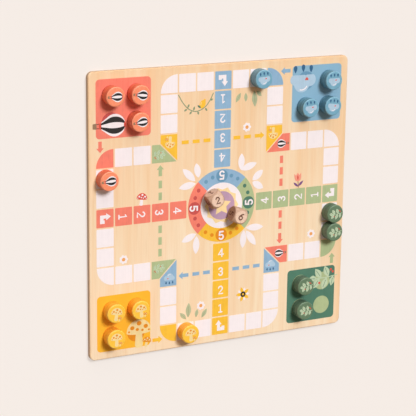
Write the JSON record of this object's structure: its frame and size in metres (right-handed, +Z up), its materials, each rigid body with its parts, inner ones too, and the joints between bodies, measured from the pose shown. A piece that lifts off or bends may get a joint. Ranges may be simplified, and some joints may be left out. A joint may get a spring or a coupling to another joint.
{
  "type": "ludo game board",
  "caption": "Square plywood race-game board printed with a cross of cells, corner bases and a numbered ring, with loose turned wooden pawns and number dice.",
  "frame": {"origin": "centre of the board's underside, which lies on the table", "axes": "+Z up, out of the printed face; +X to the right and +Y to the top of the board as it is seen in the picture"},
  "size_m": [0.3, 0.3, 0.0221],
  "materials": {
    "board_plywood": "sanded light plywood under a matt clear coat",
    "white_ink": "printed ink",
    "red_ink": "printed ink",
    "dark_red_ink": "printed ink",
    "blue_ink": "printed ink",
    "dark_blue_ink": "printed ink",
    "yellow_ink": "printed ink",
    "orange_ink": "printed ink",
    "light_green_ink": "printed ink",
    "dark_green_ink": "printed ink",
    "pale_yellow_ink": "printed ink",
    "purple_ink": "printed ink",
    "blue_pawn_paint": "water-based paint on turned wood",
    "red_pawn_paint": "water-based paint on turned wood",
    "yellow_pawn_paint": "water-based paint on turned wood",
    "green_pawn_paint": "water-based paint on turned wood",
    "die_wood": "bare sanded wood with burnt digits"
  },
  "bodies": {
    "board": {"board": "board_plywood", "white_cells_print": "white_ink", "petal_print": "white_ink", "red_print": "red_ink", "dark_red_print": "dark_red_ink", "blue_print": "blue_ink", "dark_blue_print": "dark_blue_ink", "yellow_print": "yellow_ink", "orange_print": "orange_ink", "light_green_print": "light_green_ink", "dark_green_print": "dark_green_ink", "centre_white_print": "white_ink", "sunburst_print": "pale_yellow_ink", "purple_print": "purple_ink", "star_print": "pale_yellow_ink"},
    "blue_pawn_1": {"blue_pawn_1": "blue_pawn_paint"},
    "blue_pawn_2": {"blue_pawn_2": "blue_pawn_paint"},
    "blue_pawn_3": {"blue_pawn_3": "blue_pawn_paint"},
    "blue_pawn_4": {"blue_pawn_4": "blue_pawn_paint"},
    "red_pawn_1": {"red_pawn_1": "red_pawn_paint"},
    "red_pawn_2": {"red_pawn_2": "red_pawn_paint"},
    "red_pawn_3": {"red_pawn_3": "red_pawn_paint"},
    "red_pawn_4": {"red_pawn_4": "red_pawn_paint"},
    "yellow_pawn_1": {"yellow_pawn_1": "yellow_pawn_paint"},
    "yellow_pawn_2": {"yellow_pawn_2": "yellow_pawn_paint"},
    "yellow_pawn_3": {"yellow_pawn_3": "yellow_pawn_paint"},
    "yellow_pawn_4": {"yellow_pawn_4": "yellow_pawn_paint"},
    "green_pawn_1": {"green_pawn_1": "green_pawn_paint"},
    "green_pawn_2": {"green_pawn_2": "green_pawn_paint"},
    "green_pawn_3": {"green_pawn_3": "green_pawn_paint"},
    "green_pawn_4": {"green_pawn_4": "green_pawn_paint"},
    "die_1": {"die_1": "die_wood"},
    "die_2": {"die_2": "die_wood"}
  },
  "joints": [
    {"name": "blue_pawn_1_lift", "type": "slide", "parent": "board", "child": "blue_pawn_1", "axis": [0, 0, 1], "range_m": [0, 0.04]},
    {"name": "blue_pawn_2_lift", "type": "slide", "parent": "board", "child": "blue_pawn_2", "axis": [0, 0, 1], "range_m": [0, 0.04]},
    {"name": "blue_pawn_3_lift", "type": "slide", "parent": "board", "child": "blue_pawn_3", "axis": [0, 0, 1], "range_m": [0, 0.04]},
    {"name": "blue_pawn_4_lift", "type": "slide", "parent": "board", "child": "blue_pawn_4", "axis": [0, 0, 1], "range_m": [0, 0.04]},
    {"name": "red_pawn_1_lift", "type": "slide", "parent": "board", "child": "red_pawn_1", "axis": [0, 0, 1], "range_m": [0, 0.04]},
    {"name": "red_pawn_2_lift", "type": "slide", "parent": "board", "child": "red_pawn_2", "axis": [0, 0, 1], "range_m": [0, 0.04]},
    {"name": "red_pawn_3_lift", "type": "slide", "parent": "board", "child": "red_pawn_3", "axis": [0, 0, 1], "range_m": [0, 0.04]},
    {"name": "red_pawn_4_lift", "type": "slide", "parent": "board", "child": "red_pawn_4", "axis": [0, 0, 1], "range_m": [0, 0.04]},
    {"name": "yellow_pawn_1_lift", "type": "slide", "parent": "board", "child": "yellow_pawn_1", "axis": [0, 0, 1], "range_m": [0, 0.04]},
    {"name": "yellow_pawn_2_lift", "type": "slide", "parent": "board", "child": "yellow_pawn_2", "axis": [0, 0, 1], "range_m": [0, 0.04]},
    {"name": "yellow_pawn_3_lift", "type": "slide", "parent": "board", "child": "yellow_pawn_3", "axis": [0, 0, 1], "range_m": [0, 0.04]},
    {"name": "yellow_pawn_4_lift", "type": "slide", "parent": "board", "child": "yellow_pawn_4", "axis": [0, 0, 1], "range_m": [0, 0.04]},
    {"name": "green_pawn_1_lift", "type": "slide", "parent": "board", "child": "green_pawn_1", "axis": [0, 0, 1], "range_m": [0, 0.04]},
    {"name": "green_pawn_2_lift", "type": "slide", "parent": "board", "child": "green_pawn_2", "axis": [0, 0, 1], "range_m": [0, 0.04]},
    {"name": "green_pawn_3_lift", "type": "slide", "parent": "board", "child": "green_pawn_3", "axis": [0, 0, 1], "range_m": [0, 0.04]},
    {"name": "green_pawn_4_lift", "type": "slide", "parent": "board", "child": "green_pawn_4", "axis": [0, 0, 1], "range_m": [0, 0.04]},
    {"name": "die_1_lift", "type": "slide", "parent": "board", "child": "die_1", "axis": [0, 0, 1], "range_m": [0, 0.04]},
    {"name": "die_2_lift", "type": "slide", "parent": "board", "child": "die_2", "axis": [0, 0, 1], "range_m": [0, 0.04]}
  ]
}
